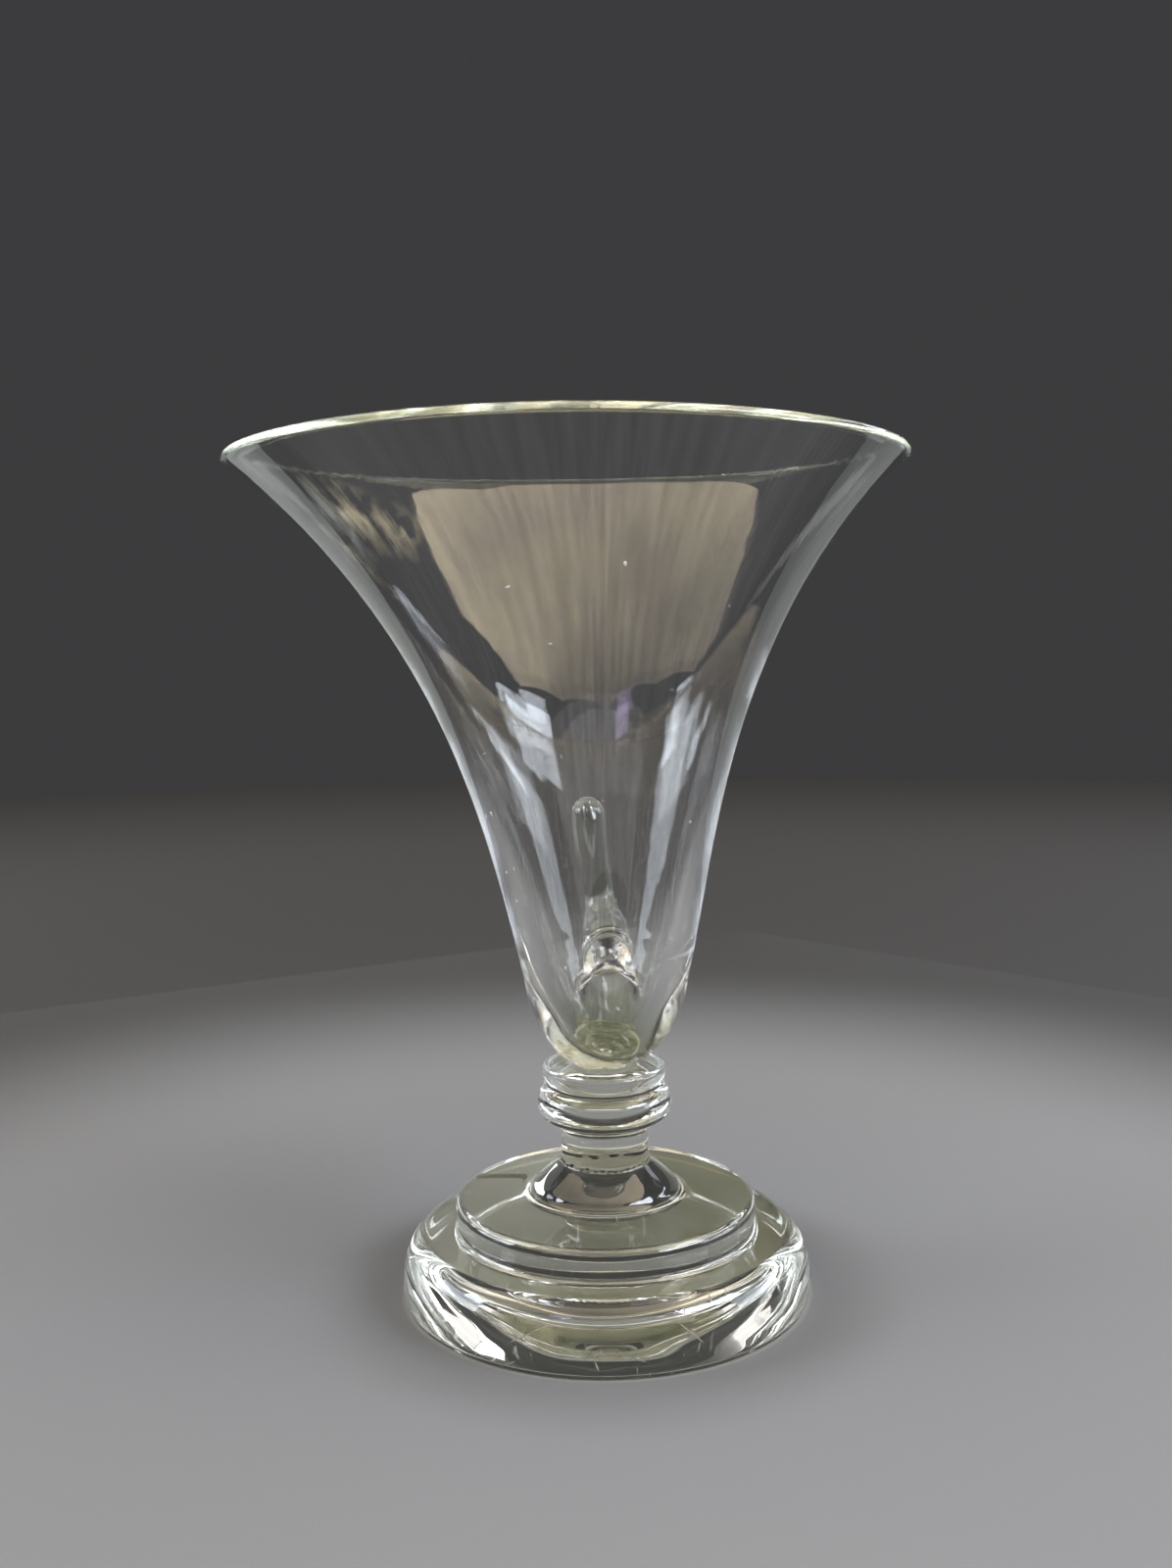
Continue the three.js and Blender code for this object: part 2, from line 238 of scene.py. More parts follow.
panel_light("left_wall", -92, 13, 1.2, 0.75, 0.4, 6.6, DAYLIGHT)
panel_light("right_wall", 92, 13, 1.2, 0.75, 0.4, 6.0, DAYLIGHT)
panel_light("right_back_wall", 141, 28, 1.2, 0.45, 0.16, 2.4, DAYLIGHT)

# A few dim patches of the room's back show only as gleams on the glass.
gleams = []
for size in (1.0, 0.8, 0.6, 0.4, 0.2):  # panels of shrinking size laid over each other have a soft edge
    gleams += [
        panel_light("floor_gleam", 137, -16, 0.45, 0.55 * size, 0.24 * size, 0.36, FLOOR_LIGHT),
        panel_light("left_floor_gleam", -150, -14, 0.45, 0.5 * size, 0.22 * size, 0.55, FLOOR_LIGHT),
    ]
for size in (1.0, 0.72, 0.44):
    gleams.append(panel_light("left_back_gleam", -150, 20, 1.2, 1.3 * size, 0.36 * size, 0.55, EVEN))
for gleam in gleams:
    gleam.visible_transmission = False
    gleam.visible_diffuse = False

# %% [markdown]
# The cloud and the ceiling that follow are sheets that shine. A sheet can have any outline and a pattern,
# which an area light can't. These helpers hang a sheet out of the camera's sight and mix its finish. The
# small ones below are single nodes with names that say what they do, and the glass uses them as well.

# %% Make helpers for sheets that shine
def hung_sheet(name, points, faces):
    """A sheet of the studio that the camera doesn't see directly."""
    mesh = bpy.data.meshes.new(name)
    mesh.from_pydata(points, [], faces)
    sheet = bpy.data.objects.new(name, mesh)
    sheet.visible_camera = False
    bpy.context.scene.collection.objects.link(sheet)
    return sheet


def glowing_finish(sheet, name, glow):
    """A finish that only shines, with no colour or gloss of its own."""
    material, shader = new_material(name)
    shader.inputs["Base Color"].default_value = (0.0, 0.0, 0.0, 1.0)
    shader.inputs["Specular IOR Level"].default_value = 0.0
    shader.inputs["Emission Strength"].default_value = glow
    sheet.data.materials.append(material)
    return material, shader


def soft_noise(material, place, scale, detail):
    """Noise at a place, with the given scale and number of finer layers."""
    noise = material.node_tree.nodes.new("ShaderNodeTexNoise")
    noise.inputs["Scale"].default_value = scale
    noise.inputs["Detail"].default_value = detail
    material.node_tree.links.new(place, noise.inputs["Vector"])
    return noise.outputs["Fac"]


def spread(material, value, low, high, to_low=0.0, to_high=1.0):
    """Stretches a value so that low becomes to_low and high becomes to_high, and holds it between them."""
    node = material.node_tree.nodes.new("ShaderNodeMapRange")
    for socket, number in (("From Min", low), ("From Max", high), ("To Min", to_low), ("To Max", to_high)):
        node.inputs[socket].default_value = number
    material.node_tree.links.new(value, node.inputs["Value"])
    return node.outputs["Result"]


def product(material, first, second):
    """The product of two values."""
    node = material.node_tree.nodes.new("ShaderNodeMath")
    node.operation = "MULTIPLY"
    material.node_tree.links.new(first, node.inputs[0])
    material.node_tree.links.new(second, node.inputs[1])
    return node.outputs["Value"]


print("helpers for sheets are ready")

# %% [markdown]
# Behind the vase hangs a thin glowing cloud, which the flared left side of the horn mirrors. It is a
# ribbon through a few directions. Its cover is kept on its points, full along the middle and nothing
# at the edges, and noise breaks it into wisps.

# %% Hang the cloud
CLOUD_PATH = ((176, 23), (169, 31), (161, 41), (151, 48), (141, 53.5), (134, 57))
CLOUD_SPREAD = (7.0, 5.0)  # degrees of turn and of rise from the middle of the ribbon to its edge
CLOUD_DISTANCE = 1.2
cloud_points, cloud_faces, cloud_cover = [], [], []
for i, (turn, rise) in enumerate(CLOUD_PATH):
    for across in (-1, 0, 1):
        aim = direction(turn + across * CLOUD_SPREAD[0], rise + across * CLOUD_SPREAD[1])
        cloud_points.append(HORN_MIDDLE + aim * CLOUD_DISTANCE)
        cloud_cover.append(1.0 if across == 0 and 0 < i < len(CLOUD_PATH) - 1 else 0.0)
for i in range(len(CLOUD_PATH) - 1):
    for k in (3 * i, 3 * i + 1):
        cloud_faces.append((k, k + 1, k + 4, k + 3))
cloud = hung_sheet("cloud", cloud_points, cloud_faces)
cloud.data.attributes.new("cover", "FLOAT", "POINT").data.foreach_set("value", cloud_cover)
cloud.visible_diffuse = False
cloud.visible_transmission = False
cloud.visible_shadow = False

CLOUD_GLOW = 3.4
thin_cloud, cloud_shader = glowing_finish(cloud, "thin_cloud", CLOUD_GLOW)
cloud_place = object_place(thin_cloud)
cloud_wisps = spread(thin_cloud, soft_noise(thin_cloud, cloud_place, 9.0, 5.0), 0.42, 0.58)
cloud_edge = thin_cloud.node_tree.nodes.new("ShaderNodeAttribute")
cloud_edge.attribute_name = "cover"
cloud_thickness = product(thin_cloud, cloud_wisps, cloud_edge.outputs["Fac"])
thin_cloud.node_tree.links.new(cloud_thickness, cloud_shader.inputs["Alpha"])
cloud_colour = colour_blend(thin_cloud, parts_of(thin_cloud, cloud_place)["Z"], [
    (0.78, (0.45, 0.50, 0.47)),
    (0.98, (1.0, 0.86, 0.56)),
])
thin_cloud.node_tree.links.new(cloud_colour, cloud_shader.inputs["Emission Color"])
print("cloud of", len(cloud_faces), "faces")

# %% [markdown]
# The ceiling is a flat glowing sheet, whose outline is the patch that the horn's back wall mirrors. It is
# clouded a little, and it darkens towards its front and its left side, as a ceiling lit from one end
# does. It hangs as two sheets: the lower one shows in reflections, and a dimmer one just above it shows
# through the glass. That keeps the brown veil strong without filling the thick glass with light.

# %% Hang the ceiling
CEILING_HEIGHT = 1.36
CEILING_GLOW = 3.3
DIM_SHARE, DIM_LIFT = 0.42, 0.01
ceiling_outline = (
    (0.33, 0.60), (1.05, 0.33), (1.25, -0.45), (0.62, -1.12), (-0.36, -1.38),
    (-1.41, -0.70), (-2.05, 0.30), (-1.80, 0.78), (-0.50, 0.68), (-0.30, 0.40), (-0.07, 0.29), (0.18, 0.34),
)
ceiling_corners = [(x, y, 0.0) for x, y in ceiling_outline]
ceiling_face = list(range(len(ceiling_outline)))


def plaster_finish(sheet, name, glow):
    """Warm plaster with faint clouds, darker towards the ceiling's front and its left side."""
    material, shader = glowing_finish(sheet, name, glow)
    place = object_place(material)
    colour = colour_blend(material, soft_noise(material, place, 1.6, 3.0), [
        (0.35, (0.80, 0.665, 0.51)),
        (0.65, (1.0, 0.86, 0.60)),
    ])
    parts = parts_of(material, place)
    front_fade = spread(material, parts["Y"], -1.4, -0.60, 0.35, 1.0)
    side_fade = spread(material, parts["X"], -1.2, 0.7, 0.65, 1.5)
    faded = vector_math(material, "MULTIPLY", colour, product(material, front_fade, side_fade))["Vector"]
    material.node_tree.links.new(faded, shader.inputs["Emission Color"])


ceiling = hung_sheet("warm_ceiling", ceiling_corners, [ceiling_face])
ceiling.location.z = CEILING_HEIGHT
ceiling.visible_transmission = False
plaster_finish(ceiling, "glowing_plaster", CEILING_GLOW)

dim_ceiling = hung_sheet("dim_ceiling", ceiling_corners, [ceiling_face])
dim_ceiling.location.z = CEILING_HEIGHT + DIM_LIFT
plaster_finish(dim_ceiling, "dim_plaster", CEILING_GLOW * DIM_SHARE)
print("ceiling with", len(ceiling_outline), "corners, at", CEILING_HEIGHT, "m")

# %% [markdown]
# Light is piped along the horn's wall to its lip in dozens of bounces. A path that is cut short turns
# black, so the lip would lose its bright line. Many crossings are allowed here, as real glass has no
# limit. The plain view transform keeps the tones as they are mixed.

# %% Let light cross the glass
LIGHT_CROSSINGS = 160
cycles = bpy.context.scene.cycles
cycles.max_bounces = LIGHT_CROSSINGS
cycles.transmission_bounces = LIGHT_CROSSINGS
cycles.glossy_bounces = LIGHT_CROSSINGS
bpy.context.scene.view_settings.view_transform = "Standard"
print("a path of light may cross glass", LIGHT_CROSSINGS, "times")

# %% [markdown]
# ## The shapes of the gathers
# A gather is turned while it is hot, so its form is a profile spun round an axis. A profile is drawn
# here as a few strokes. Each stroke is a smooth run of points, and a crease is left only where two
# strokes meet. A stroke also says what its faces are: open glass, or the seam where two gathers are
# fused. Light must pass a fused seam as if it weren't there.

# %% Draw the strokes of a profile
ROUND = 192  # points round each ring
ANGLES = [math.tau * i / ROUND for i in range(ROUND)]
GLASS, SEAM, LIP = 0, 1, 2
CRACK = GRIT = 2  # the frosted faces of the cracks in the base, and the grit under the neck
SEAM_GAP = 0.02  # mm; two skins at the very same place would catch a ray between them
LONG_HOLLOW = 3.0  # mm; a hollow at least this long gets finer faces
ON_AXIS = 1e-6  # mm; a point of a profile closer to the axis than this closes the shape there


def arc(start, end, count, leave):
    """A quarter of an ellipse that leaves its start upright or level."""
    points = []
    for i in range(count + 1):
        angle = i / count * math.pi / 2
        slow, fast = 1 - math.cos(angle), math.sin(angle)
        across, up = (slow, fast) if leave == "upright" else (fast, slow)
        points.append((start[0] + (end[0] - start[0]) * across, start[1] + (end[1] - start[1]) * up))
    return points


def straight(start, end, count):
    """Evenly spaced points on a straight line."""
    return [
        (start[0] + (end[0] - start[0]) * i / count, start[1] + (end[1] - start[1]) * i / count)
        for i in range(count + 1)
    ]


def pulled(start, pull, end, count):
    """A curve from start to end that bends towards the pull point."""
    points = []
    for i in range(count + 1):
        t = i / count
        weights = ((1 - t) ** 2, 2 * t * (1 - t), t * t)
        points.append(tuple(
            sum(w * p[k] for w, p in zip(weights, (start, pull, end))) for k in (0, 1)
        ))
    return points


def joined(*runs):
    """One stroke out of runs that each start where the last one ended."""
    points = list(runs[0])
    for run in runs[1:]:
        points.extend(run[1:])
    return points


quarter = arc((0, 0), (1, 1), 8, "level")
print("a quarter round of 8 steps has", len(quarter), "points")

# %% [markdown]
# A shape is gathered ring by ring. Two rings are joined by a band of faces, and a ring is closed by a
# fan to its centre. The shape remembers what kind each face is and where it has a crease, and becomes
# a mesh only at the end. Plain lists are enough for this, and they keep each point in a known place.

# %% Gather a shape from rings
class Shape:
    """A mesh being gathered: its points, its faces with their kind, and the creases between strokes."""

    def __init__(self):
        self.points = []
        self.faces = []
        self.kinds = []
        self.creases = set()

    def ring(self, places):
        """Adds the points of a ring and returns their numbers."""
        first = len(self.points)
        self.points.extend(places)
        return list(range(first, first + len(places)))

    def face(self, corners, kind=GLASS):
        self.faces.append(corners)
        self.kinds.append(kind)

    def band(self, lower, upper, kind=GLASS):
        """Joins two rings."""
        count = len(lower)
        for i in range(count):
            j = (i + 1) % count
            self.face((lower[i], lower[j], upper[j], upper[i]), kind)

    def tube(self, rings, kind=GLASS):
        """Joins each ring to the next one."""
        for lower, upper in zip(rings, rings[1:]):
            self.band(lower, upper, kind)

    def fan(self, ring, centre, kind=GLASS):
        """Closes a ring to its centre."""
        middle = self.ring([centre])[0]
        for i in range(len(ring)):
            self.face((ring[i], ring[(i + 1) % len(ring)], middle), kind)

    def crease(self, ring):
        """Lets the shading break along a ring."""
        for i in range(len(ring)):
            self.creases.add(frozenset((ring[i], ring[(i + 1) % len(ring)])))


def spun(strokes):
    """Spins strokes of (kind, points) round the upright axis. The first and last points lie on the axis."""
    shape = Shape()
    bottom = (0.0, 0.0, strokes[0][1][0][1])
    ring = None
    for kind, points in strokes:
        if ring:
            shape.crease(ring)
        for radius, height in points[1:]:
            if radius < ON_AXIS:
                shape.fan(ring, (0.0, 0.0, height), kind)
                break
            upper = shape.ring([(radius * math.cos(a), radius * math.sin(a), height) for a in ANGLES])
            if ring:
                shape.band(ring, upper, kind)
            else:
                shape.fan(upper, bottom, kind)
            ring = upper
    return shape


sample = spun([(GLASS, [(0, 0), (1, 0), (0, 1)])])
print("a spun cone has", len(sample.faces), "faces")

# %% [markdown]
# A bubble, a crack or a speck is a small closed skin inside the glass. Its faces point inwards, because
# there the glass is outside it. Each finished piece stands for one measured solid and rides on the vase's
# only body.

# %% Put hollows in and finish a piece
def add_hollow(work, centre, width, length, along, taper, kind=GLASS):
    """A closed inner skin that faces inwards: a long bubble, thinner at its start by the taper."""
    turn = Vector(along).to_track_quat("Z", "Y").to_matrix().to_4x4()
    made = bmesh.ops.create_icosphere(work, subdivisions=2 if length < LONG_HOLLOW else 3, radius=1.0)
    for vert in made["verts"]:
        slim = 1 - taper * (1 - vert.co.z) / 2
        vert.co = Vector((vert.co.x * width * slim, vert.co.y * width * slim, vert.co.z * length)) / 2
    bmesh.ops.transform(work, matrix=turn, verts=made["verts"])
    bmesh.ops.scale(work, vec=(MM, MM, MM), verts=made["verts"])
    bmesh.ops.translate(work, vec=Vector(centre) * MM, verts=made["verts"])
    skin = {face for vert in made["verts"] for face in vert.link_faces}
    bmesh.ops.reverse_faces(work, faces=list(skin))
    for face in skin:
        face.material_index = kind
        face.smooth = True


def make_piece(name, shape, materials, node_names, hollows=()):
    """Turns a gathered shape into an object that stands for its solids."""
    mesh = bpy.data.meshes.new(name)
    mesh.from_pydata([Vector(p) * MM for p in shape.points], [], shape.faces)
    work = bmesh.new()
    work.from_mesh(mesh)
    work.faces.ensure_lookup_table()
    for face, kind in zip(work.faces, shape.kinds):
        face.material_index = kind
        face.smooth = True
    for edge in work.edges:
        if frozenset(v.index for v in edge.verts) in shape.creases:
            edge.smooth = False
    bmesh.ops.recalc_face_normals(work, faces=work.faces)
    for hollow in hollows:
        add_hollow(work, *hollow)
    open_edges = sum(1 for edge in work.edges if not edge.is_manifold)
    work.to_mesh(mesh)
    work.free()
    for material in materials:
        mesh.materials.append(material)
    piece = bpy.data.objects.new(name, mesh)
    bpy.context.scene.collection.objects.link(piece)
    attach(piece, "root")
    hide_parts(*node_names)
    print(name, "has", len(mesh.polygons), "faces and", open_edges, "open edges")


# %% [markdown]
# ## The glass
# Soda glass bends light by 1.5 and is nearly colourless. Through the thick foot it looks faintly straw
# coloured, because iron in the sand takes a little blue out of every crossing. Hand-worked glass is
# never quite even: slow waves run up the horn where it was swung, and fine scratches cover the foot
# where it has been set down. These helpers make such fields of noise and turn them into slight changes
# of slope, which is all that they are on the real glass.

# %% Make waves and streaks for the glass
def noise_field(material, place, scale, detail, stretch):
    """A noise value that is stretched by the given factors along X, Y and Z."""
    return soft_noise(material, vector_math(material, "MULTIPLY", place, stretch)["Vector"], scale, detail)


def drawn_field(material, place, scale, detail):
    """Noise in long thin streaks up the horn: it changes fast round the axis and slowly with height."""
    flat = vector_math(material, "MULTIPLY", place, (1.0, 1.0, 0.0))["Vector"]
    round_way = vector_math(material, "NORMALIZE", flat)["Vector"]
    up = vector_math(material, "MULTIPLY", place, (0.0, 0.0, 1.0))["Vector"]
    return soft_noise(material, vector_math(material, "ADD", round_way, up)["Vector"], scale, detail)


def add_bump(material, heights, height, slope=None):
    """Tips the surface by a field of heights. Height is in mm, and slope is a bump made before."""
    bump = material.node_tree.nodes.new("ShaderNodeBump")
    bump.inputs["Strength"].default_value = 1.0
    bump.inputs["Distance"].default_value = height * MM
    material.node_tree.links.new(heights, bump.inputs["Height"])
    if slope is not None:
        material.node_tree.links.new(slope, bump.inputs["Normal"])
    return bump.outputs["Normal"]


print("waves and streaks are ready")

# %% [markdown]
# Three finishes aren't clear glass. A fused seam bends nothing, because the glass is the same on both
# sides, so its index is 1. The faces of a crack are broken and rough, and shine like frost. Grit is
# opaque. Each is mixed once and used on every piece that has it.

# %% Mix the seams, cracks and grit
GLASS_IOR = 1.5


def clear_material(name, colour, index):
    """A smooth finish that light passes, with a tint and the index by which it bends the light."""
    material, shader = new_material(name)
    shader.inputs["Base Color"].default_value = (*colour, 1.0)
    shader.inputs["Roughness"].default_value = 0.0
    shader.inputs["IOR"].default_value = index
    shader.inputs["Transmission Weight"].default_value = 1.0
    return material, shader


def crack_material():
    """The broken face of a crack: glass too rough to be clear, which scatters light as frost does."""
    material, shader = clear_material("crack_faces", EVEN, GLASS_IOR)
    grain = noise_field(material, object_place(material), 900.0, 2.0, EVEN)
    material.node_tree.links.new(spread(material, grain, 0.0, 1.0, 0.4, 0.9), shader.inputs["Roughness"])
    return material


def grit_material():
    """Specks of ash and kiln dirt, from nearly black to brown."""
    material, shader = new_material("trapped_grit")
    shade = colour_blend(material, noise_field(material, object_place(material), 700.0, 2.0, EVEN), [
        (0.4, (0.02, 0.018, 0.015)),
        (0.7, (0.12, 0.10, 0.08)),
    ])
    material.node_tree.links.new(shade, shader.inputs["Base Color"])
    shader.inputs["Roughness"].default_value = 0.7
    return material


fused_seam = clear_material("fused_seam", EVEN, 1.0)[0]
crack_faces = crack_material()
trapped_grit = grit_material()
print("finishes:", fused_seam.name, crack_faces.name, trapped_grit.name)

# %% [markdown]
# Clear glass is the Principled shader with all its weight on transmission. The wall of the horn is thin
# and nearly white. Its lower end is thick, so a tint comes in below the gorge, and the lip is looked
# into edge on, so it is the greenest of all. The streaks both tint the horn and tip its surface.

# %% Mix the clear glass
STREAK_HEIGHT = 0.012  # mm


def deep_tint(material, place, shade, low, high, tint):
    """Multiplies a shade by the tint below the low height in mm, fading to no tint at the high one."""
    rise = spread(material, parts_of(material, place)["Z"], low * MM, high * MM)
    share = colour_blend(material, rise, [(0.0, tint), (1.0, EVEN)])
    return vector_math(material, "MULTIPLY", shade, share)["Vector"]


def glass_material(name, colour, waves, streaks=0.0, wear=0.0, deep=None):
    """Clear glass with slow waves, given as (scale, stretch, height in mm), drawn streaks and fine wear.
    Deep is the (low, high, tint) of the deep tint, which only streaked glass has."""
    material, shader = clear_material(name, colour, GLASS_IOR)
    links = material.node_tree.links
    place = object_place(material)
    scale, stretch, height = waves
    slope = add_bump(material, noise_field(material, place, scale, 1.0, stretch), height)
    if streaks:
        drawn = drawn_field(material, place, 38.0, 3.0)
        darker = tuple(c * (1 - streaks) for c in colour)
        shade = colour_blend(material, drawn, [(0.3, darker), (0.7, colour)])
        if deep:
            shade = deep_tint(material, place, shade, *deep)
        links.new(shade, shader.inputs["Base Color"])
        slope = add_bump(material, drawn, STREAK_HEIGHT, slope)
    if wear:
        lines = noise_field(material, place, 60.0, 4.0, (9.0, 1.2, 1.2))
        links.new(spread(material, lines, 0.66, 0.70, 0.0, wear), shader.inputs["Roughness"])
    links.new(slope, shader.inputs["Normal"])
    return material


foot_glass = glass_material("foot_glass", (0.945, 0.957, 0.83), (35.0, EVEN, 0.12), wear=0.25)
stem_glass = glass_material("stem_glass", (0.86, 0.88, 0.81), (60.0, EVEN, 0.06))
horn_glass = glass_material(
    "horn_glass", (0.98, 0.985, 0.97), (45.0, (1.0, 1.0, 0.12), 0.05),
    streaks=0.2, deep=(72, 90, (0.64, 0.67, 0.55)))
lip_glass = glass_material("lip_glass", (0.76, 0.82, 0.59), (45.0, EVEN, 0.03))
print("glass bends light by", GLASS_IOR)

# %% [markdown]
# ## The foot
# The base is a thick slab with a flat ground underside, a full toe and a rounded shoulder. It is spun
# from one stroke of open glass, and the seam under the disc closes it.

# %% Spin the base
BASE_RADIUS, BASE_TOP = 57.7, 18.0
BASE_TOE, BASE_SHOULDER = 57.1, 49.8
TOE_HEIGHT = 4.5  # of the widest point
DISC_SPREAD = 44.0

base = spun([
    (GLASS, joined(
        straight((0, 0), (BASE_TOE, 0), 12),
        arc((BASE_TOE, 0), (BASE_RADIUS, TOE_HEIGHT), 8, "level"),
        arc((BASE_RADIUS, TOE_HEIGHT), (BASE_SHOULDER, BASE_TOP), 32, "upright"),
        straight((BASE_SHOULDER, BASE_TOP), (DISC_SPREAD, BASE_TOP), 6),
    )),
    (SEAM, straight((DISC_SPREAD, BASE_TOP), (0, BASE_TOP), 4)),
])
print("base is", 2 * BASE_RADIUS, "mm across and", BASE_TOP, "mm high")

# %% [markdown]
# Knocks have left short needle cracks under the skin of the base. They could be painted on, but a real
# crack is a thin gap that glints from every side, so each is a narrow hollow with frosted faces. It lies
# between two points just under the skin, given by their turn from the front in degrees and their height
# in mm.

# %% Crack the base
cracks = (
    ((-25.6, 7.5), (-14.8, 13.1)), ((-5.7, 5.6), (-1.3, 7.9)), ((-3.2, 4.9), (-2.3, 2.4)),
    ((19.3, 12.3), (25.0, 7.1)), ((29.7, 17.2), (29.6, 14.9)), ((3.6, 6.3), (9.7, 4.4)),
    ((35.6, 17.2), (34.9, 15.9)), ((-27.7, 0.9), (-24.2, 2.7)),
)
CRACK_DEPTH, CRACK_WIDTH = 0.4, 0.45


def under_base_skin(turn, height):
    """The point just under the side of the base at a turn from the front and a height."""
    if height < TOE_HEIGHT:
        reach = BASE_TOE + (BASE_RADIUS - BASE_TOE) * math.sqrt(1 - (1 - height / TOE_HEIGHT) ** 2)
    else:
        share = (height - TOE_HEIGHT) / (BASE_TOP - TOE_HEIGHT)
        reach = BASE_RADIUS - (BASE_RADIUS - BASE_SHOULDER) * (1 - math.sqrt(1 - share * share))
    reach -= CRACK_DEPTH
    return Vector((reach * math.sin(math.radians(turn)), -reach * math.cos(math.radians(turn)), height))


needles = []
for first, last in cracks:
    start, end = under_base_skin(*first), under_base_skin(*last)
    needles.append(((start + end) / 2, CRACK_WIDTH, (end - start).length, end - start, 0.0, CRACK))
make_piece(
    "vase_foot_base", base, (foot_glass, fused_seam, crack_faces), ("foot_base",),
    hollows=needles)

# %% [markdown]
# The disc spreads a little where it melted onto the base, swells to a rounded edge, and rises through
# a dome and a short throat to the neck. Where the neck was pressed onto the dome it trapped two rings
# of dark grit. Each speck is a small hollow with opaque faces, because dirt inside glass is seen many
# times over, bent by every surface in front of it.

# %% Spin the disc and trap the grit
NECK_RADIUS = 12.3
NECK_FOOT, NECK_TOP = 39.25, 45.25
DISC_FOOT = BASE_TOP + SEAM_GAP
disc = spun([
    (SEAM, straight((0, DISC_FOOT), (DISC_SPREAD, DISC_FOOT), 4)),
    (GLASS, joined(
        arc((DISC_SPREAD, DISC_FOOT), (41.8, 20.2), 10, "level"),
        straight((41.8, 20.2), (42.4, 24.6), 4),
        arc((42.4, 24.6), (40.0, 27.0), 10, "upright"),
        straight((40.0, 27.0), (24.4, 28.26), 10),
        pulled((24.4, 28.26), (21.4, 28.5), (20.1, 30.56), 10),
        pulled((20.1, 30.56), (18.8, 32.62), (13.1, 36.75), 14),
        arc((13.1, 36.75), (NECK_RADIUS, NECK_FOOT), 8, "level"),
    )),
    (SEAM, straight((NECK_RADIUS, NECK_FOOT), (0, NECK_FOOT), 3)),
])

GRIT_RINGS = ((9.9, 34), (11.4, 38))  # the radius of each ring and how many specks it has
crumbs = random.Random(3)
trapped = []
for reach, count in GRIT_RINGS:
    for i in range(count):
        turn = math.tau * (i + crumbs.uniform(-0.15, 0.15)) / count
        trapped.append((
            (reach * math.cos(turn), reach * math.sin(turn), crumbs.uniform(36.0, 37.2)),
            crumbs.uniform(0.8, 1.5), crumbs.uniform(0.4, 0.9), (0, 0, 1), 0.0, GRIT))
make_piece(
    "vase_foot_disc", disc, (foot_glass, fused_seam, trapped_grit), ("foot_disc",),
    hollows=trapped)

# %% [markdown]
# ## The stem
# The stem is three gathers: a short plain neck, a ring knop and a flared flange. One profile could make
# all three, but each stands for a solid of its own and so is closed by itself. The neck is a straight
# cylinder, open at its side and fused at both ends.

# %% Spin the neck
neck = spun([
    (SEAM, straight((0, NECK_FOOT + SEAM_GAP), (NECK_RADIUS, NECK_FOOT + SEAM_GAP), 3)),
    (GLASS, straight((NECK_RADIUS, NECK_FOOT + SEAM_GAP), (NECK_RADIUS, NECK_TOP), 6)),
    (SEAM, straight((NECK_RADIUS, NECK_TOP), (0, NECK_TOP), 3)),
])
make_piece("vase_neck", neck, (stem_glass, fused_seam), ("stem_neck",))

# %% [markdown]
# The knop was squeezed into a ring with a tool. A concave root leads out to a full round edge. A plain
# torus would be even above and below, but this edge starts wider than it ends, at the crease under the
# flange, so its curve is written out.

# %% Spin the ring knop
KNOP_TOP = 58.75
KNOP_RADIUS, KNOP_ROOT_RADIUS, KNOP_ROOT_TOP = 18.9, 16.0, 49.5
CREASE_RADIUS = 15.5


def knop_round(count):
    points = []
    for i in range(count + 1):
        t = i / count
        angle = (t - 0.5) * math.pi
        inner = KNOP_ROOT_RADIUS + (CREASE_RADIUS - KNOP_ROOT_RADIUS) * t
        points.append((
            inner + (KNOP_RADIUS - inner) * math.cos(angle),
            (KNOP_ROOT_TOP + KNOP_TOP) / 2 + (KNOP_TOP - KNOP_ROOT_TOP) / 2 * math.sin(angle),
        ))
    return points


knop = spun([
    (SEAM, straight((0, NECK_TOP + SEAM_GAP), (NECK_RADIUS, NECK_TOP + SEAM_GAP), 3)),
    (GLASS, joined(
        arc((NECK_RADIUS, NECK_TOP + SEAM_GAP), (KNOP_ROOT_RADIUS, KNOP_ROOT_TOP), 10, "upright"),
        knop_round(28),
    )),
    (SEAM, straight((CREASE_RADIUS, KNOP_TOP), (0, KNOP_TOP), 3)),
])
make_piece("vase_ring_knop", knop, (stem_glass, fused_seam), ("ring_knop",))

# %% [markdown]
# The flange cups the end of the horn. It flares to a rounded lip, and a shallow dish runs round the
# seat. Only the middle of the seat melted together with the horn. A film of air is left round it, and
# that film is what mirrors light under the horn.

# %% Spin the collar flange
SEAT, SEAT_RADIUS = 64.75, 7.3
FUSED_RADIUS = 4.4  # the middle of the seat, where the horn and the flange melted together
FLANGE_RADIUS, FLANGE_LIP_ROUND = 17.5, 1.2
flange_lip = (FLANGE_RADIUS - FLANGE_LIP_ROUND, SEAT - FLANGE_LIP_ROUND)
land_radius = SEAT_RADIUS + 1.6
dish_outer = flange_lip[0] - FLANGE_LIP_ROUND
FLANGE_DISH = 0.4


def flange_round(count):
    return [
        (flange_lip[0] + FLANGE_LIP_ROUND * math.cos(math.pi * i / count),
         flange_lip[1] + FLANGE_LIP_ROUND * math.sin(math.pi * i / count))
        for i in range(count + 1)
    ]


def flange_dish(count):
    half = (dish_outer - land_radius) / 2
    return [
        (land_radius + half * (1 + math.cos(math.pi * i / count)),
         flange_lip[1] + FLANGE_LIP_ROUND * i / count - FLANGE_DISH * math.sin(math.pi * i / count))
        for i in range(count + 1)
    ]


